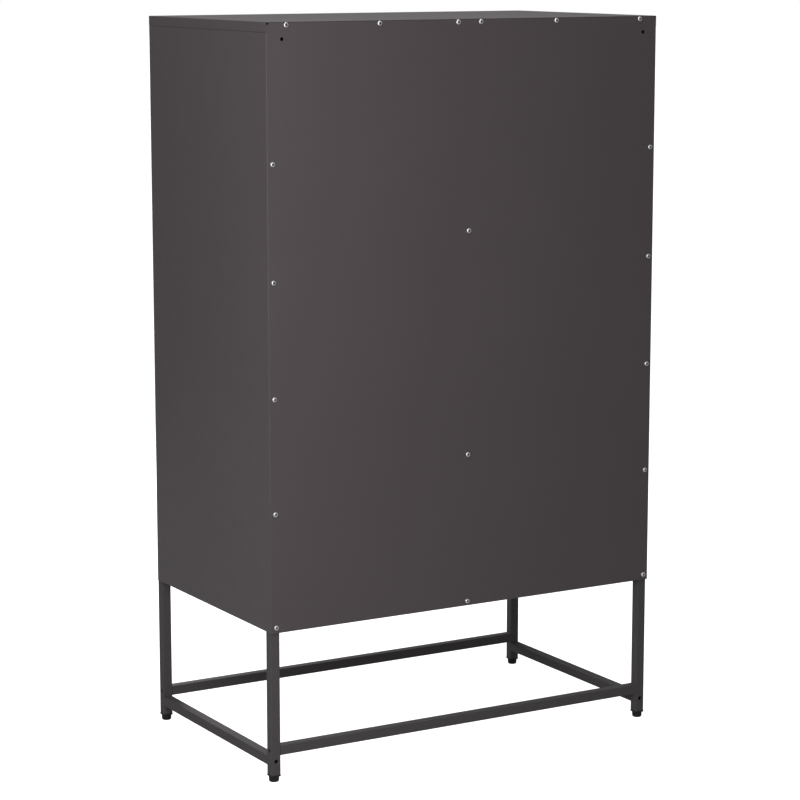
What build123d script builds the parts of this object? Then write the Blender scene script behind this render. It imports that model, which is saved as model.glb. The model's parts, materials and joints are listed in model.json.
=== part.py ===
from build123d import *

import os

# A tall chest of five drawers in folded sheet steel, on a leg frame of square tube.
# +Z is up, the drawers face -Y, the screwed back panel faces +Y, and the origin is on the
# floor under the middle of the whole chest. All sizes are in millimetres.
# "Depth" always means the distance forward from the outer face of the back panel.

# Carcass
WIDTH = 680.0
DEPTH = 390.0
HEIGHT = 1123.0
UNDERSIDE = 229.5
SHEET = 0.8
BEND = 1.0
COVER_SKIRT = 15.0
COVER_PROUD = 0.2
COVER_LIP = 9.0
RETURN = 19.0
FLANGE = 16.0
PLINTH = 21.5
BACK_EDGE_GAP = 0.5
BACK_TOP_GAP = 1.4
CORNER_RELIEF = 3.0

# Uprights and crossbars inside the carcass
POST_WIDTH = 25.0
REAR_POST_DEPTH = 42.5
FRONT_POST_DEPTH = 362.5
CENTRE_POST_WIDTH = 40.0
CENTRE_POST_REACH = 15.0
CROSSBAR_HEIGHT = 15.0
CROSSBAR_REACH = 20.0
CROSSBAR_SHEET = 1.0

# Drawers
DRAWERS = 5
GAP = 3.0
FRONT_SETBACK = 1.0
FRONT_FOLD = 15.0
FRONT_LIP = 8.0
BOX_HEIGHT = 120.0
BOX_LIFT = 20.0
BOX_REAR_DEPTH = 24.0
BOX_HEM = 8.0

# Runners
RUNNER_LENGTH = 350.0
RUNNER_HEIGHT = 35.0
RUNNER_REACH = 12.7
RUNNER_SHEET = 1.2
RUNNER_LIFT = 32.0
RUNNER_LIP = 10.4
SLIDE_PLAY = 0.8
SLIDE_REACH = 8.8
TRAVEL = 260.0
STOP_WIDTH = 6.0
STOP_LENGTH = 3.0
STOP_REACH = 6.3
STOP_INSET = 5.0
STOP_PLAY = 0.5

# Handles
HANDLE_SPACING = 128.0
HANDLE_HEIGHT = 10.0
HANDLE_REACH = 24.0
HANDLE_BAR = 8.0
HANDLE_FOOT = 10.0
HANDLE_CORNER = 4.0
HANDLE_EDGE = 1.2

# Leg frame
TUBE = 15.0
TUBE_WALL = 1.2
TUBE_CORNER = 1.0
TUBE_BOTTOM = 10.6
LEG_SIDE_INSET = 8.4
REAR_LEG_DEPTH = 11.1
FRONT_LEG_DEPTH = 382.5
CROSS_RAIL_LEVEL = 48.0
SIDE_RAIL_LEVEL = 32.0
PLUG = 12.0

# Levelling feet
FOOT_TOP_RADIUS = 8.0
FOOT_SOLE_RADIUS = 7.4
FOOT_EDGE = 1.2
FOOT_FLUTES = 16
FLUTE_RADIUS = 0.7
FLUTE_LENGTH = 5.0
INSERT_FLANGE = 2.0
INSERT_WIDTH = 16.0
INSERT_CORNER = 1.6
INSERT_TOP = 26.0
STUD_RADIUS = 2.9
STUD_LENGTH = 16.0
STUD_HOLE_RADIUS = 3.0

# Fasteners
SCREW_RADIUS = 1.95
SCREW_LENGTH = 6.0
SCREW_HEAD_RADIUS = 3.75
SCREW_HEAD = 2.0
SCREW_CROWN = 1.4
RECESS_WIDTH = 0.9
RECESS_LENGTH = 3.8
RECESS_DEPTH = 1.2
RECESS_CORE_RADIUS = 1.2
RECESS_CORE_DEPTH = 3.2
SCREW_HOLE_RADIUS = 2.1
HANDLE_SCREW_RADIUS = 1.7
HANDLE_SCREW_LENGTH = 10.0
HANDLE_HOLE_RADIUS = 1.95
HANDLE_TAPPED_RADIUS = 1.75
BOLT_RADIUS = 1.95
BOLT_LENGTH = 11.5
BOLT_HEAD_RADIUS = 2.8
BOLT_HEAD = 3.0
BOLT_SOCKET_RADIUS = 1.4
BOLT_SOCKET_DEPTH = 1.6
BOLT_HOLE_RADIUS = 2.2
TAPPED_RADIUS = 2.0
ACCESS_HOLE_RADIUS = 3.0

# Screws in the back panel, and the two holes that fix the chest to a wall
TOP_SCREWS_X = (19.85, 154.1, 308.2)
TOP_SCREWS_DROP = 4.7
SIDE_SCREWS_INSET = 8.6
SIDE_SCREWS_TOP_DROP = 202.3
SIDE_SCREWS_PITCH = 170.7
SIDE_SCREWS = 5
CENTRE_SCREWS_DROP = (315.0, 657.0)
PLINTH_SCREW_DROP = 886.5
COVER_SCREWS_DEPTH = (100.0, 200.0, 300.0)
ANCHOR_INSET = 25.0
ANCHOR_DROP = 24.6
ANCHOR_RADIUS = 2.75

# Places worked out from the sizes above
FRONT_FACE = DEPTH - FRONT_SETBACK
OVERALL_DEPTH = SCREW_HEAD + FRONT_FACE + HANDLE_REACH
REAR_Y = OVERALL_DEPTH / 2 - SCREW_HEAD
SIDE_X = WIDTH / 2 - COVER_PROUD
INSIDE_X = SIDE_X - SHEET
OPENING_X = WIDTH / 2 - RETURN
COVER_BOTTOM = HEIGHT - COVER_SKIRT
FLOOR_TOP = UNDERSIDE + 2 * SHEET
OPENING_BOTTOM = UNDERSIDE + PLINTH
FRONT_HEIGHT = (COVER_BOTTOM - OPENING_BOTTOM - (DRAWERS + 1) * GAP) / DRAWERS
PITCH = FRONT_HEIGHT + GAP
FRONT_X = OPENING_X - GAP
BOX_X = OPENING_X - RUNNER_REACH
BOX_FRONT_DEPTH = FRONT_FACE - SHEET
LIP_DEPTH = FRONT_FACE - FRONT_FOLD
RUNNER_FRONT = LIP_DEPTH - 1.0
RUNNER_REAR = RUNNER_FRONT - RUNNER_LENGTH
LEG_X = WIDTH / 2 - LEG_SIDE_INSET
BORE = TUBE - 2 * TUBE_WALL
INSERT_BOTTOM = TUBE_BOTTOM - INSERT_FLANGE

SIDES = {"left": -1, "right": 1}
TO_REAR = (0, 1, 0)
TO_FRONT = (0, -1, 0)
UP = (0, 0, 1)
DOWN = (0, 0, -1)


def y_at(depth):
    """Y of a point that lies this far forward of the back panel's outer face."""
    return REAR_Y - depth


def block(x, depth, z, mode=Mode.ADD):
    """Add to or cut from the active part a cuboid between pairs of x, depth and z."""
    middle = (sum(x) / 2, y_at(sum(depth) / 2), sum(z) / 2)
    with Locations(middle):
        Box(abs(x[1] - x[0]), abs(depth[1] - depth[0]), abs(z[1] - z[0]), mode=mode)


def drill(plane, radius, length):
    """Cut a round hole into the active part from a plane's origin, along its normal."""
    with Locations(plane):
        Cylinder(radius, length, align=(Align.CENTER, Align.CENTER, Align.MIN), mode=Mode.SUBTRACT)


def across(x0, x1, side):
    """A pair of x values, given on the right-hand side, for either side."""
    return (side * x0, side * x1)


def outward(side):
    """The direction away from the middle of the chest on one side."""
    return (side, 0, 0)


def save(part, name):
    """Label a finished piece and write it to its own STEP file."""
    part.label = name
    export_step(part, f"parts/{name}.step")


# Where the fasteners sit: each plane has its origin under the head, and its normal runs
# from the head into the pieces that the fastener holds.


def rear_screw_plane(x, drop):
    """A screw driven forward through the back panel, so far below the top."""
    return Plane(origin=(x, y_at(0), HEIGHT - drop), z_dir=TO_FRONT)


def side_screw_drops():
    """Heights below the top of the screws down each side of the back panel."""
    return [SIDE_SCREWS_TOP_DROP + i * SIDE_SCREWS_PITCH for i in range(SIDE_SCREWS)]


def top_screw_planes():
    """The row along the top, into the rear skirt of the cover."""
    return [rear_screw_plane(side * x, TOP_SCREWS_DROP) for x in TOP_SCREWS_X for side in (-1, 1)]


def side_screw_planes(side):
    """The column near one side edge, into that side panel's rear return."""
    x = side * (WIDTH / 2 - SIDE_SCREWS_INSET)
    return [rear_screw_plane(x, drop) for drop in side_screw_drops()]


def centre_screw_planes():
    """The screws up the middle, into the centre post."""
    return [rear_screw_plane(0, drop) for drop in CENTRE_SCREWS_DROP]


def cover_screw_planes(side):
    """Screws driven up through a side panel's top flange into the cover."""
    level = COVER_BOTTOM - SHEET
    return [Plane(origin=(side * LEG_X, y_at(d), level), z_dir=UP) for d in COVER_SCREWS_DEPTH]


def floor_bolt_plane(side, depth):
    """The bolt driven down through the floor of the carcass into the top of one leg."""
    return Plane(origin=(side * LEG_X, y_at(depth), FLOOR_TOP), z_dir=DOWN)


def cross_bolt_plane(side, depth):
    """The bolt inside one leg that holds the end of the front or rear rail."""
    x = side * (LEG_X - BORE / 2)
    return Plane(origin=(x, y_at(depth), CROSS_RAIL_LEVEL), z_dir=outward(-side))


def side_bolt_plane(side, depth):
    """The bolt inside one leg that holds the end of a side rail."""
    is_rear = depth < DEPTH / 2
    inner_wall = depth + BORE / 2 if is_rear else depth - BORE / 2
    direction = TO_FRONT if is_rear else TO_REAR
    return Plane(origin=(side * LEG_X, y_at(inner_wall), SIDE_RAIL_LEVEL), z_dir=direction)


def drawer_bottom(number):
    """Lower edge of a drawer front; drawer 1 is the top one."""
    return OPENING_BOTTOM + GAP + (DRAWERS - number) * PITCH


def runner_level(number):
    """Height of the middle of a drawer's runners."""
    return drawer_bottom(number) + RUNNER_LIFT + RUNNER_HEIGHT / 2


def runner_screw_plane(side, depth, number):
    """A screw driven outward through a cabinet runner into its post."""
    x = side * (OPENING_X - RUNNER_SHEET)
    return Plane(origin=(x, y_at(depth), runner_level(number)), z_dir=outward(side))


def handle_screw_plane(side, number):
    """A screw driven forward from inside the drawer box into a foot of its handle."""
    level = drawer_bottom(number) + FRONT_HEIGHT / 2
    x = side * HANDLE_SPACING / 2
    return Plane(origin=(x, y_at(BOX_FRONT_DEPTH - SHEET), level), z_dir=TO_FRONT)


# Carcass


def make_top_cover():
    """A folded lid over the back panel: skirt on four sides, a return under it, and a lip
    turned down from the front return, which closes the gap over the top drawer."""
    with BuildPart() as cover:
        edge = WIDTH / 2
        inner = edge - SHEET
        block((-edge, edge), (0, DEPTH), (COVER_BOTTOM, HEIGHT))
        fillet(cover.edges(), BEND)
        block((-edge, edge), (0, SHEET), (COVER_BOTTOM, HEIGHT - SHEET), Mode.SUBTRACT)
        inside = (2 * SHEET, DEPTH - SHEET)
        block((-inner, inner), inside, (COVER_BOTTOM + SHEET, HEIGHT - SHEET), Mode.SUBTRACT)
        mouth = edge - FLANGE
        mouth_depth = (SHEET + FLANGE, RUNNER_FRONT - SHEET)
        block((-mouth, mouth), mouth_depth, (COVER_BOTTOM, COVER_BOTTOM + SHEET), Mode.SUBTRACT)
        lip = OPENING_X - BACK_EDGE_GAP
        block((-lip, lip), (mouth_depth[1], RUNNER_FRONT), (COVER_BOTTOM - COVER_LIP, COVER_BOTTOM))
        for side in (-1, 1):
            relief = across(inner - CORNER_RELIEF, inner, side)
            level = (HEIGHT - SHEET - CORNER_RELIEF, HEIGHT - SHEET)
            block(relief, (SHEET, 2 * SHEET), level, Mode.SUBTRACT)
        for plane in top_screw_planes() + cover_screw_planes(-1) + cover_screw_planes(1):
            drill(plane, SCREW_HOLE_RADIUS, 3 * SHEET)
    return cover.part


def make_side_panel(side):
    """A sheet with a return at the front and rear and a flange at the top and bottom."""
    with BuildPart() as panel:
        level = (UNDERSIDE, COVER_BOTTOM)
        block(across(INSIDE_X, SIDE_X, side), (SHEET, DEPTH), level)
        block(across(OPENING_X, SIDE_X, side), (SHEET, 2 * SHEET), level)
        block(across(OPENING_X, SIDE_X, side), (DEPTH - SHEET, DEPTH), level)
        flange = across(WIDTH / 2 - FLANGE, SIDE_X, side)
        block(flange, (SHEET, DEPTH), (UNDERSIDE, UNDERSIDE + SHEET))
        block(flange, (SHEET, DEPTH), (COVER_BOTTOM - SHEET, COVER_BOTTOM))
        outer = panel.faces().sort_by(Axis.X)[-1 if side > 0 else 0]
        fillet(outer.edges(), BEND)
        for plane in side_screw_planes(side) + cover_screw_planes(side):
            drill(plane, SCREW_HOLE_RADIUS, 3 * SHEET)
        for depth in (REAR_LEG_DEPTH, FRONT_LEG_DEPTH):
            drill(floor_bolt_plane(side, depth), BOLT_HOLE_RADIUS, 3 * SHEET)
    return panel.part


def make_back_panel():
    """A flat sheet over the rear returns, with small notches at its top corners."""
    with BuildPart() as panel:
        edge = SIDE_X - BACK_EDGE_GAP
        top = HEIGHT - BACK_TOP_GAP
        block((-edge, edge), (0, SHEET), (UNDERSIDE, top))
        for side in (-1, 1):
            notch = across(edge - CORNER_RELIEF, edge, side)
            block(notch, (0, SHEET), (top - CORNER_RELIEF, top), Mode.SUBTRACT)
        screws = top_screw_planes() + centre_screw_planes() + [rear_screw_plane(0, PLINTH_SCREW_DROP)]
        screws += side_screw_planes(-1) + side_screw_planes(1)
        for plane in screws:
            drill(plane, SCREW_HOLE_RADIUS, SHEET)
        for side in (-1, 1):
            x = side * (WIDTH / 2 - ANCHOR_INSET)
            drill(rear_screw_plane(x, ANCHOR_DROP), ANCHOR_RADIUS, SHEET)
    return panel.part


def make_bottom_panel():
    """The floor of the carcass, turned up into a plinth at the front and rear."""
    with BuildPart() as panel:
        block((-INSIDE_X, INSIDE_X), (2 * SHEET, DEPTH - SHEET), (UNDERSIDE + SHEET, FLOOR_TOP))
        plinth = OPENING_X - BACK_EDGE_GAP
        level = (UNDERSIDE + SHEET, OPENING_BOTTOM)
        block((-plinth, plinth), (SHEET, 2 * SHEET), level)
        block((-plinth, plinth), (DEPTH - SHEET, DEPTH), level)
        drill(rear_screw_plane(0, PLINTH_SCREW_DROP), SCREW_HOLE_RADIUS, 3 * SHEET)
        for side in (-1, 1):
            for depth in (REAR_LEG_DEPTH, FRONT_LEG_DEPTH):
                drill(floor_bolt_plane(side, depth), BOLT_HOLE_RADIUS, SHEET)
    return panel.part


def make_centre_post():
    """An upright channel that stiffens the middle of the back panel."""
    with BuildPart() as post:
        edge = CENTRE_POST_WIDTH / 2
        level = (OPENING_BOTTOM, COVER_BOTTOM)
        block((-edge, edge), (SHEET, CENTRE_POST_REACH), level)
        inner = edge - SHEET
        block((-inner, inner), (2 * SHEET, CENTRE_POST_REACH), level, Mode.SUBTRACT)
        for plane in centre_screw_planes():
            drill(plane, SCREW_HOLE_RADIUS, 3 * SHEET)
    return post.part


def make_runner_post(side, depth):
    """An upright channel on a side panel, which carries the runners."""
    with BuildPart() as post:
        half = POST_WIDTH / 2
        level = (FLOOR_TOP, COVER_BOTTOM - SHEET)
        block(across(OPENING_X, INSIDE_X, side), (depth - half, depth + half), level)
        hollow = (depth - half + SHEET, depth + half - SHEET)
        block(across(OPENING_X + SHEET, INSIDE_X, side), hollow, level, Mode.SUBTRACT)
        for number in range(1, DRAWERS + 1):
            drill(runner_screw_plane(side, depth, number), SCREW_HOLE_RADIUS, 3 * SHEET)
    return post.part


def make_crossbar(number):
    """A channel between the front posts, behind the gap below one drawer front."""
    middle = drawer_bottom(number) - GAP / 2
    with BuildPart() as bar:
        level = (middle - CROSSBAR_HEIGHT / 2, middle + CROSSBAR_HEIGHT / 2)
        inner = (level[0] + CROSSBAR_SHEET, level[1] - CROSSBAR_SHEET)
        depth = (RUNNER_FRONT - CROSSBAR_REACH, RUNNER_FRONT)
        block((-OPENING_X, OPENING_X), depth, level)
        hollow = (depth[0], depth[1] - CROSSBAR_SHEET)
        block((-OPENING_X, OPENING_X), hollow, inner, Mode.SUBTRACT)
    return bar.part


# Runners


def make_cabinet_runners(number):
    """The pair of lipped channels that stay in the carcass, each with a stop."""
    middle = runner_level(number)
    depth = (RUNNER_REAR, RUNNER_FRONT)
    level = (middle - RUNNER_HEIGHT / 2, middle + RUNNER_HEIGHT / 2)
    hollow = (level[0] + RUNNER_SHEET, level[1] - RUNNER_SHEET)
    web = OPENING_X - RUNNER_SHEET
    stop = RUNNER_REAR + STOP_INSET + STOP_LENGTH + TRAVEL + STOP_PLAY
    stop_level = (middle - STOP_WIDTH / 2, middle + STOP_WIDTH / 2)
    with BuildPart() as pair:
        for side in (-1, 1):
            block(across(OPENING_X - RUNNER_LIP, OPENING_X, side), depth, level)
            block(across(OPENING_X - RUNNER_LIP, web, side), depth, hollow, Mode.SUBTRACT)
            block(across(web - STOP_REACH, web, side), (stop, stop + STOP_LENGTH), stop_level)
            for post in (REAR_POST_DEPTH, FRONT_POST_DEPTH):
                drill(runner_screw_plane(side, post, number), SCREW_HOLE_RADIUS, RUNNER_SHEET)
    return pair.part


def make_drawer_runners(number):
    """The pair of channels on the drawer box, which slide inside the cabinet runners."""
    middle = runner_level(number)
    half = RUNNER_HEIGHT / 2 - RUNNER_SHEET - SLIDE_PLAY
    depth = (RUNNER_REAR, RUNNER_FRONT)
    level = (middle - half, middle + half)
    hollow = (level[0] + RUNNER_SHEET, level[1] - RUNNER_SHEET)
    web = BOX_X + RUNNER_SHEET
    stop = RUNNER_REAR + STOP_INSET
    stop_level = (middle - STOP_WIDTH / 2, middle + STOP_WIDTH / 2)
    with BuildPart() as pair:
        for side in (-1, 1):
            block(across(BOX_X, BOX_X + SLIDE_REACH, side), depth, level)
            block(across(web, BOX_X + SLIDE_REACH, side), depth, hollow, Mode.SUBTRACT)
            block(across(web, web + STOP_REACH, side), (stop, stop + STOP_LENGTH), stop_level)
    return pair.part


# Drawers


def make_drawer_box(number):
    """An open sheet box whose rim is folded flat inward to double its thickness."""
    low = drawer_bottom(number) + BOX_LIFT
    high = low + BOX_HEIGHT
    with BuildPart() as box:
        block((-BOX_X, BOX_X), (BOX_REAR_DEPTH, BOX_FRONT_DEPTH), (low, high))
        fillet(box.edges().filter_by(Axis.Z), BEND)
        inner = BOX_X - SHEET
        depth = (BOX_REAR_DEPTH + SHEET, BOX_FRONT_DEPTH - SHEET)
        block((-inner, inner), depth, (low + SHEET, high - BOX_HEM), Mode.SUBTRACT)
        mouth = inner - SHEET
        mouth_depth = (depth[0] + SHEET, depth[1] - SHEET)
        block((-mouth, mouth), mouth_depth, (high - BOX_HEM, high), Mode.SUBTRACT)
        for side in (-1, 1):
            drill(handle_screw_plane(side, number), HANDLE_HOLE_RADIUS, SHEET)
    return box.part


def make_drawer_front(number):
    """A folded pan: front sheet, four edges turned back, and a lip round the rear."""
    low = drawer_bottom(number)
    high = low + FRONT_HEIGHT
    with BuildPart() as front:
        block((-FRONT_X, FRONT_X), (LIP_DEPTH, FRONT_FACE), (low, high))
        fillet(front.faces().sort_by(Axis.Y)[0].edges(), BEND)
        inner = FRONT_X - SHEET
        depth = (LIP_DEPTH + SHEET, FRONT_FACE - SHEET)
        block((-inner, inner), depth, (low + SHEET, high - SHEET), Mode.SUBTRACT)
        mouth = FRONT_X - FRONT_LIP
        mouth_level = (low + FRONT_LIP, high - FRONT_LIP)
        block((-mouth, mouth), (LIP_DEPTH, LIP_DEPTH + SHEET), mouth_level, Mode.SUBTRACT)
        for side in (-1, 1):
            drill(handle_screw_plane(side, number), HANDLE_HOLE_RADIUS, 2 * SHEET)
    return front.part


def make_handle(number):
    """A bar on two feet, tapped from behind."""
    level = drawer_bottom(number) + FRONT_HEIGHT / 2
    half = (HANDLE_SPACING + HANDLE_FOOT) / 2
    grip = (FRONT_FACE, FRONT_FACE + HANDLE_REACH - HANDLE_BAR)
    span = half - HANDLE_FOOT
    with BuildPart() as handle:
        height = (level - HANDLE_HEIGHT / 2, level + HANDLE_HEIGHT / 2)
        block((-half, half), (FRONT_FACE, FRONT_FACE + HANDLE_REACH), height)
        fillet(handle.edges().filter_by(Axis.Z).group_by(Axis.Y)[0], HANDLE_CORNER)
        front_face = handle.faces().sort_by(Axis.Y)[0]
        fillet(front_face.edges().filter_by(Axis.X), HANDLE_EDGE)
        block((-span, span), grip, height, Mode.SUBTRACT)
        for side in (-1, 1):
            start = Plane(origin=(side * HANDLE_SPACING / 2, y_at(FRONT_FACE), level), z_dir=TO_FRONT)
            drill(start, HANDLE_TAPPED_RADIUS, HANDLE_SCREW_LENGTH)
    return handle.part


# Leg frame


def make_leg(side, depth):
    """A square tube with a tapped plug welded in its top and holes for the rail bolts."""
    x = side * LEG_X
    half_bore = BORE / 2
    bore_x = (x - half_bore, x + half_bore)
    bore_depth = (depth - half_bore, depth + half_bore)
    with BuildPart() as leg:
        with BuildSketch(Plane.XY.offset(TUBE_BOTTOM)):
            with Locations((x, y_at(depth))):
                RectangleRounded(TUBE, TUBE, TUBE_CORNER)
        extrude(amount=UNDERSIDE - TUBE_BOTTOM)
        block(bore_x, bore_depth, (TUBE_BOTTOM, UNDERSIDE - PLUG), Mode.SUBTRACT)
        drill(floor_bolt_plane(side, depth), TAPPED_RADIUS, PLUG + 2 * SHEET)
        for plane in (cross_bolt_plane(side, depth), side_bolt_plane(side, depth)):
            drill(plane, BOLT_HOLE_RADIUS, TUBE_WALL)
            drill(Plane(origin=plane.origin, z_dir=-plane.z_dir), ACCESS_HOLE_RADIUS, TUBE)
    return leg.part


def make_rail(start, direction, length):
    """A square tube closed by a tapped plug welded in each end."""
    end = Plane(origin=start, z_dir=direction)
    with BuildPart() as rail:
        with BuildSketch(end):
            RectangleRounded(TUBE, TUBE, TUBE_CORNER)
        extrude(amount=length)
        with BuildSketch(end.offset(PLUG)):
            Rectangle(BORE, BORE)
        extrude(amount=length - 2 * PLUG, mode=Mode.SUBTRACT)
        drill(end, TAPPED_RADIUS, length)
    return rail.part


def make_cross_rail(depth):
    """The rail from leg to leg along the front or the rear."""
    length = 2 * LEG_X - TUBE
    return make_rail((-length / 2, y_at(depth), CROSS_RAIL_LEVEL), (1, 0, 0), length)


def make_side_rail(side):
    """The rail from leg to leg along one side, below the front and rear rails."""
    length = FRONT_LEG_DEPTH - REAR_LEG_DEPTH - TUBE
    start = (side * LEG_X, y_at(REAR_LEG_DEPTH + TUBE / 2), SIDE_RAIL_LEVEL)
    return make_rail(start, TO_FRONT, length)


def make_foot(side, depth):
    """A tapered, fluted foot with a stud that screws up into its leg."""
    bottom = (Align.CENTER, Align.CENTER, Align.MIN)
    flute_level = (INSERT_BOTTOM - FLUTE_LENGTH) / 2
    with BuildPart() as foot:
        with Locations((side * LEG_X, y_at(depth), 0)):
            Cone(FOOT_SOLE_RADIUS, FOOT_TOP_RADIUS, INSERT_BOTTOM, align=bottom)
            chamfer(foot.edges().sort_by(Axis.Z)[0], FOOT_EDGE)
            Cylinder(STUD_RADIUS, INSERT_BOTTOM + STUD_LENGTH, align=bottom)
        with Locations((side * LEG_X, y_at(depth), flute_level)):
            with PolarLocations(FOOT_TOP_RADIUS, FOOT_FLUTES):
                Cylinder(FLUTE_RADIUS, FLUTE_LENGTH, align=bottom, mode=Mode.SUBTRACT)
    return foot.part


def make_foot_inserts():
    """The four plugs in the ends of the legs, each with a flange and a threaded hole."""
    with BuildPart() as inserts:
        for side in (-1, 1):
            for depth in (REAR_LEG_DEPTH, FRONT_LEG_DEPTH):
                centre = (side * LEG_X, y_at(depth))
                with BuildSketch(Plane.XY.offset(INSERT_BOTTOM)):
                    with Locations(centre):
                        RectangleRounded(INSERT_WIDTH, INSERT_WIDTH, INSERT_CORNER)
                extrude(amount=INSERT_FLANGE)
                with BuildSketch(Plane.XY.offset(TUBE_BOTTOM)):
                    with Locations(centre):
                        Rectangle(BORE, BORE)
                extrude(amount=INSERT_TOP - TUBE_BOTTOM)
                hole = Plane(origin=(*centre, INSERT_BOTTOM), z_dir=UP)
                drill(hole, STUD_HOLE_RADIUS, INSERT_TOP - INSERT_BOTTOM)
    return inserts.part


# Fasteners


def make_screw(radius, length):
    """A pan-head screw with a cross recess, its head below Z 0 and its shank above."""
    low = (Align.CENTER, Align.CENTER, Align.MIN)
    with BuildPart() as screw:
        with Locations((0, 0, -SCREW_HEAD)):
            Cylinder(SCREW_HEAD_RADIUS, SCREW_HEAD, align=low)
        fillet(screw.edges().sort_by(Axis.Z)[0], SCREW_CROWN)
        Cylinder(radius, length, align=low)
        with Locations((0, 0, -SCREW_HEAD)):
            Box(RECESS_LENGTH, RECESS_WIDTH, RECESS_DEPTH, align=low, mode=Mode.SUBTRACT)
            Box(RECESS_WIDTH, RECESS_LENGTH, RECESS_DEPTH, align=low, mode=Mode.SUBTRACT)
            Cylinder(RECESS_CORE_RADIUS, RECESS_CORE_DEPTH, align=low, mode=Mode.SUBTRACT)
    return screw.part


def make_bolt():
    """A slim cap bolt with a hexagon socket, its head below Z 0 and its shank above."""
    with BuildPart() as bolt:
        low = (Align.CENTER, Align.CENTER, Align.MIN)
        Cylinder(BOLT_RADIUS, BOLT_LENGTH, align=low)
        with Locations((0, 0, -BOLT_HEAD)):
            Cylinder(BOLT_HEAD_RADIUS, BOLT_HEAD, align=low)
        with BuildSketch(Plane.XY.offset(-BOLT_HEAD)):
            RegularPolygon(BOLT_SOCKET_RADIUS, 6)
        extrude(amount=BOLT_SOCKET_DEPTH, mode=Mode.SUBTRACT)
    return bolt.part


def make_group(fastener, planes):
    """Copies of one fastener, one on each plane."""
    with BuildPart() as group:
        with Locations(*planes):
            add(fastener)
    return group.part


os.makedirs("parts", exist_ok=True)

save(make_top_cover(), "top_cover")
save(make_back_panel(), "back_panel")
save(make_bottom_panel(), "bottom_panel")
save(make_centre_post(), "rear_centre_post")

leg_depths = {"front": FRONT_LEG_DEPTH, "rear": REAR_LEG_DEPTH}
post_depths = {"front": FRONT_POST_DEPTH, "rear": REAR_POST_DEPTH}
frame_planes = []
runner_planes = []
for side_name, side in SIDES.items():
    save(make_side_panel(side), f"{side_name}_side_panel")
    save(make_side_rail(side), f"{side_name}_rail")
    for end, depth in post_depths.items():
        save(make_runner_post(side, depth), f"{end}_{side_name}_post")
        runner_planes += [runner_screw_plane(side, depth, n + 1) for n in range(DRAWERS)]
    for end, depth in leg_depths.items():
        save(make_leg(side, depth), f"{end}_{side_name}_leg")
        save(make_foot(side, depth), f"{end}_{side_name}_foot")
        frame_planes += [floor_bolt_plane(side, depth)]
        frame_planes += [cross_bolt_plane(side, depth), side_bolt_plane(side, depth)]
for end, depth in leg_depths.items():
    save(make_cross_rail(depth), f"{end}_rail")
save(make_foot_inserts(), "foot_inserts")

for number in range(1, DRAWERS):
    save(make_crossbar(number), f"crossbar_{number}")

handle_screw = make_screw(HANDLE_SCREW_RADIUS, HANDLE_SCREW_LENGTH)
for number in range(1, DRAWERS + 1):
    save(make_cabinet_runners(number), f"cabinet_runners_{number}")
    save(make_drawer_runners(number), f"drawer_runners_{number}")
    save(make_drawer_box(number), f"drawer_box_{number}")
    save(make_drawer_front(number), f"drawer_front_{number}")
    save(make_handle(number), f"handle_{number}")
    handle_planes = [handle_screw_plane(side, number) for side in (-1, 1)]
    save(make_group(handle_screw, handle_planes), f"handle_screws_{number}")

screw = make_screw(SCREW_RADIUS, SCREW_LENGTH)
panel_planes = top_screw_planes() + centre_screw_planes() + [rear_screw_plane(0, PLINTH_SCREW_DROP)]
for side in (-1, 1):
    panel_planes += side_screw_planes(side) + cover_screw_planes(side)
save(make_group(screw, panel_planes), "panel_screws")
save(make_group(screw, runner_planes), "runner_screws")
save(make_group(make_bolt(), frame_planes), "frame_bolts")
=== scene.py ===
import json
import math

import bpy
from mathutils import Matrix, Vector


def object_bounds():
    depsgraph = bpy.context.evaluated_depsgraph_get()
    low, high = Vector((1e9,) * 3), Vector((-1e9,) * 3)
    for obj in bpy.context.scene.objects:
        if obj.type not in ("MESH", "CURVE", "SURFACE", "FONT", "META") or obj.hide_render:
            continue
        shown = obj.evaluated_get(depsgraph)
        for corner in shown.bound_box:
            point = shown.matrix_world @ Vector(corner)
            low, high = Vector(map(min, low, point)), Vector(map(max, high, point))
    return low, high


# A tall chest of drawers in grey powder-coated steel, seen from behind in a white studio.
# Sizes are metres in the frame's axes: +Z is up and +Y is the back of the chest. Colours are
# linear. A noise scale is in cycles per metre.

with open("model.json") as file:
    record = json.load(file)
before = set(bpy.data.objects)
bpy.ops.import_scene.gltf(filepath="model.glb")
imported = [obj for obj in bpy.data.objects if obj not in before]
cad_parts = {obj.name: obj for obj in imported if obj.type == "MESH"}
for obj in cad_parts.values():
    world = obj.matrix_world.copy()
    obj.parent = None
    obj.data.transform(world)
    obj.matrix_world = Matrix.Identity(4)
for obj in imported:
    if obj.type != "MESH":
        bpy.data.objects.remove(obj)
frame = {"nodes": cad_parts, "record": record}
cad_low, cad_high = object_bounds()

scene = bpy.context.scene
scene.view_settings.view_transform = "Standard"

CABINET_COAT = (0.0420, 0.0337, 0.0366)
FRAME_COAT = (0.0340, 0.0296, 0.0313)
COAT_IOR = 1.45
PLASTIC_IOR = 1.35
DRAWN_LINES = (1.0, 0.04, 1.0)
RECESS_REACH = 0.003

FLOOR_SIZE = 60.0
FLOOR_DROP = 0.0004
FLOOR_GLOW = 1.0
WORLD_FILL = 0.47
WHITE = (1.0, 1.0, 1.0, 1.0)


# ---------------------------------------------------------------- materials


def new_material(name):
    """A node material with its shader and an object-space coordinate to build on."""
    material = bpy.data.materials.new(name)
    material.use_nodes = True
    nodes = material.node_tree.nodes
    shader = nodes["Principled BSDF"]
    place = nodes.new("ShaderNodeTexCoord")
    return material, shader, place.outputs["Object"]


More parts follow.
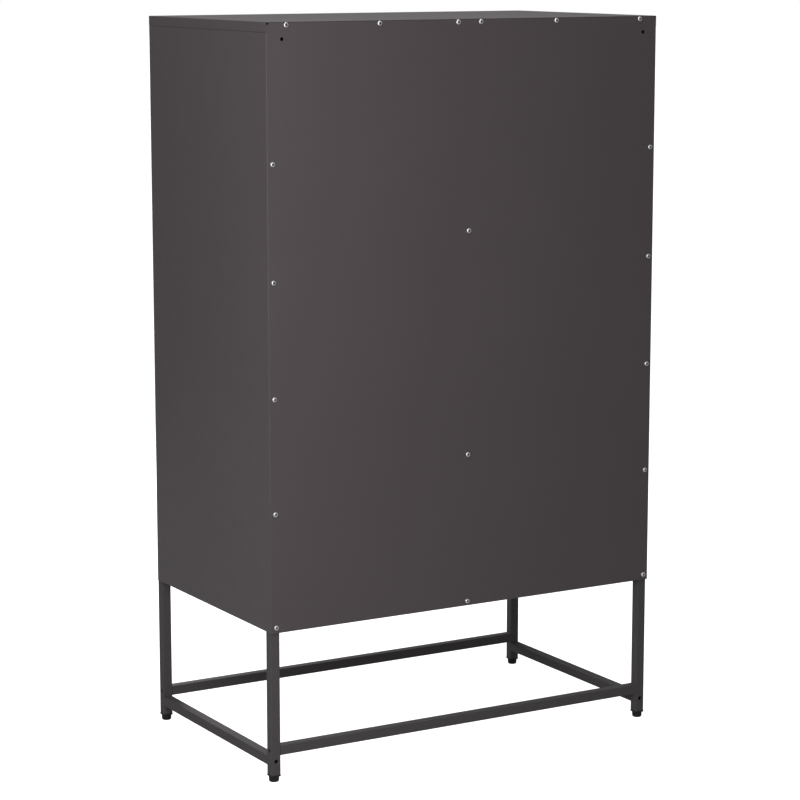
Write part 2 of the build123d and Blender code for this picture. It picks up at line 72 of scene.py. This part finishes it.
def add_node(material, kind, settings=None, inputs=None):
    """A node with its settings, and its inputs set to values or linked to sockets."""
    node = material.node_tree.nodes.new(kind)
    for key, value in (settings or {}).items():
        setattr(node, key, value)
    for key, value in (inputs or {}).items():
        if isinstance(value, bpy.types.NodeSocket):
            material.node_tree.links.new(value, node.inputs[key])
        else:
            node.inputs[key].default_value = value
    return node


def link(material, socket, target):
    """A link from a socket to a shader's input."""
    material.node_tree.links.new(socket, target)


def noise(material, place, scale, detail=2.0, stretch=None):
    """A noise pattern; stretch scales it along each axis first."""
    if stretch:
        mapping = add_node(material, "ShaderNodeMapping", inputs={"Vector": place, "Scale": stretch})
        place = mapping.outputs["Vector"]
    inputs = {"Vector": place, "Scale": scale, "Detail": detail, "Roughness": 0.5}
    return add_node(material, "ShaderNodeTexNoise", inputs=inputs).outputs["Fac"]


def spread(material, factor, low, high):
    """Maps the middle of a 0 to 1 pattern, where noise mostly lies, to a range of values."""
    inputs = {"Value": factor, "From Min": 0.3, "From Max": 0.7, "To Min": low, "To Max": high}
    return add_node(material, "ShaderNodeMapRange", inputs=inputs).outputs["Result"]


def ramp(material, factor, stops):
    """Colours along a 0 to 1 pattern, as (place, colour) pairs."""
    node = add_node(material, "ShaderNodeValToRGB", inputs={"Fac": factor})
    elements = node.color_ramp.elements
    while len(elements) < len(stops):
        elements.new(0.5)
    for element, (where, colour) in zip(elements, stops):
        element.position = where
        element.color = (*colour, 1.0)
    return node.outputs["Color"]


def bump(material, height, distance, strength, normal=None):
    """A normal bent by a height pattern, on top of another normal if one is given."""
    inputs = {"Height": height, "Distance": distance, "Strength": strength}
    if normal is not None:
        inputs["Normal"] = normal
    return add_node(material, "ShaderNodeBump", inputs=inputs).outputs["Normal"]


def tinted(colour, gain):
    """A colour made lighter or darker by a gain."""
    return tuple(channel * gain for channel in colour)


def powder_coat(name, colour, roughness):
    """Fine matt powder coat: orange peel, a fine grain and very slight clouding."""
    material, shader, place = new_material(name)
    cloud = noise(material, place, 5.0)
    grain = noise(material, place, 2600.0, detail=1.0)
    mixed = {"Factor": 0.6, 2: cloud, 3: grain}
    tone = add_node(material, "ShaderNodeMix", {"data_type": "FLOAT"}, mixed)
    stops = ((0.3, tinted(colour, 0.94)), (0.5, colour), (0.7, tinted(colour, 1.06)))
    link(material, ramp(material, tone.outputs[0], stops), shader.inputs["Base Color"])
    shine = noise(material, place, 40.0, detail=4.0)
    rough = spread(material, shine, roughness - 0.02, roughness + 0.02)
    link(material, rough, shader.inputs["Roughness"])
    peel = noise(material, place, 520.0, detail=1.5)
    normal = bump(material, peel, 0.00006, 0.4)
    normal = bump(material, grain, 0.00003, 0.4, normal)
    link(material, normal, shader.inputs["Normal"])
    shader.inputs["IOR"].default_value = COAT_IOR
    return material


def zinc_plate():
    """Bright zinc-plated steel with a fine mottle and drawn lines, and painted shade that darkens it
    where it is recessed.
    """
    material, shader, place = new_material("zinc_plate")
    shader.inputs["Metallic"].default_value = 1.0
    mottle = noise(material, place, 350.0, detail=3.0)
    bright = ramp(material, mottle, ((0.3, (0.52, 0.53, 0.55)), (0.7, (0.70, 0.70, 0.70))))
    # Painted shade: an ambient occlusion mask darkens the zinc's colour inside recesses, such as the
    # screws' cross slots.
    reach = {"Distance": RECESS_REACH}
    hollow = add_node(material, "ShaderNodeAmbientOcclusion", {"only_local": True}, reach)
    painted_recess_shade = ramp(material, hollow.outputs["AO"], ((0.35, (0.03, 0.03, 0.03)), (0.8, (1.0, 1.0, 1.0))))
    settings = {"data_type": "RGBA", "blend_type": "MULTIPLY"}
    recess_shaded_zinc = add_node(material, "ShaderNodeMix", settings, {"Factor": 1.0, 6: bright, 7: painted_recess_shade})
    link(material, recess_shaded_zinc.outputs[2], shader.inputs["Base Color"])
    lines = noise(material, place, 900.0, stretch=DRAWN_LINES)
    link(material, spread(material, lines, 0.30, 0.46), shader.inputs["Roughness"])
    link(material, bump(material, lines, 0.00002, 0.4), shader.inputs["Normal"])
    return material


def black_oxide():
    """Blackened bolt steel."""
    material, shader, place = new_material("black_oxide")
    shader.inputs["Metallic"].default_value = 0.6
    patches = noise(material, place, 600.0, detail=3.0)
    stops = ((0.3, (0.012, 0.012, 0.013)), (0.7, (0.03, 0.03, 0.032)))
    link(material, ramp(material, patches, stops), shader.inputs["Base Color"])
    link(material, spread(material, patches, 0.35, 0.5), shader.inputs["Roughness"])
    return material


def black_plastic():
    """Moulded black polymer with a fine spark-eroded grain."""
    material, shader, place = new_material("moulded_plastic")
    grain = noise(material, place, 1800.0)
    stops = ((0.35, (0.0035, 0.0035, 0.0035)), (0.65, (0.0060, 0.0060, 0.0060)))
    link(material, ramp(material, grain, stops), shader.inputs["Base Color"])
    link(material, spread(material, grain, 0.52, 0.68), shader.inputs["Roughness"])
    link(material, bump(material, grain, 0.00004, 0.5), shader.inputs["Normal"])
    shader.inputs["IOR"].default_value = PLASTIC_IOR
    return material


LOOKS = {
    "powder_coat": powder_coat("cabinet_powder_coat", CABINET_COAT, 0.50),
    "drawer_coat": powder_coat("drawer_powder_coat", CABINET_COAT, 0.48),
    "frame_coat": powder_coat("frame_powder_coat", FRAME_COAT, 0.72),
    "zinc_steel": zinc_plate(),
    "black_steel": black_oxide(),
    "black_plastic": black_plastic(),
}
for entry in frame["record"]["subparts"]:
    node = frame["nodes"][entry["node"]]
    node.data.materials.clear()
    node.data.materials.append(LOOKS[entry["material_slot"]])


# ---------------------------------------------------------------- studio


def make_floor():
    """A plain floor, much wider than the view, with a glow that only the camera sees: it shows
    white and lights the chest as a mid grey."""
    bpy.ops.mesh.primitive_plane_add(size=FLOOR_SIZE, location=(0, 0, -FLOOR_DROP))
    floor = bpy.context.object
    floor.name = "studio_floor"
    material, shader, place = new_material("studio_floor")
    tint = noise(material, place, 3.0)
    stops = ((0.3, (0.49, 0.49, 0.49)), (0.7, (0.51, 0.51, 0.51)))
    link(material, ramp(material, tint, stops), shader.inputs["Base Color"])
    shader.inputs["Roughness"].default_value = 0.9
    shader.inputs["Specular IOR Level"].default_value = 0.0
    shader.inputs["Emission Color"].default_value = WHITE
    path = add_node(material, "ShaderNodeLightPath")
    inputs = {0: path.outputs["Is Camera Ray"], 1: FLOOR_GLOW}
    shown = add_node(material, "ShaderNodeMath", {"operation": "MULTIPLY"}, inputs)
    link(material, shown.outputs[0], shader.inputs["Emission Strength"])
    floor.data.materials.append(material)


def make_world():
    """A white surround, which lights the chest less strongly than it shows."""
    world = bpy.data.worlds.new("white_studio")
    world.use_nodes = True
    tree = world.node_tree
    lit = tree.nodes["Background"]
    lit.inputs["Color"].default_value = WHITE
    lit.inputs["Strength"].default_value = WORLD_FILL
    seen = tree.nodes.new("ShaderNodeBackground")
    seen.inputs["Color"].default_value = WHITE
    path = tree.nodes.new("ShaderNodeLightPath")
    mix = tree.nodes.new("ShaderNodeMixShader")
    tree.links.new(path.outputs["Is Camera Ray"], mix.inputs["Fac"])
    tree.links.new(lit.outputs["Background"], mix.inputs[1])
    tree.links.new(seen.outputs["Background"], mix.inputs[2])
    tree.links.new(mix.outputs["Shader"], tree.nodes["World Output"].inputs["Surface"])
    scene.world = world


def make_softbox(name, place, target, size, power):
    """A large area light that faces its target; power is in watts."""
    data = bpy.data.lights.new(name, "AREA")
    data.shape = "RECTANGLE"
    data.size, data.size_y = size
    data.energy = power
    light = bpy.data.objects.new(name, data)
    light.location = place
    light.rotation_euler = (Vector(target) - Vector(place)).to_track_quat("-Z", "Y").to_euler()
    light.visible_camera = False
    scene.collection.objects.link(light)


def make_camera(place, yaw, tilt, lens):
    """A camera behind the chest. It looks towards -Y, turned towards -X by yaw and downwards by
    tilt, both in degrees; lens is in millimetres."""
    data = bpy.data.cameras.new("photo_view")
    data.lens = lens
    camera = bpy.data.objects.new("photo_view", data)
    camera.location = place
    camera.rotation_euler = (math.radians(90.0 - tilt), 0.0, math.radians(180.0 - yaw))
    scene.collection.objects.link(camera)
    scene.camera = camera


make_floor()
make_world()
make_softbox(
    "left_softbox",
    place=(0.97, 1.07, 1.05),
    target=(0.34, 0.2, 0.85),
    size=(0.6, 1.6),
    power=25.0,
)
make_softbox(
    "top_softbox",
    place=(0.2, 0.0, 2.6),
    target=(0.0, 0.0, cad_high.z),
    size=(1.2, 1.2),
    power=20.0,
)
make_softbox(
    "front_softbox",
    place=(-0.1, -2.6, 0.6),
    target=(0.0, -0.2, 0.6),
    size=(0.7, 0.9),
    power=40.0,
)
make_camera(place=(2.0858, 3.5457, 1.2286), yaw=30.48, tilt=9.78, lens=118.46)
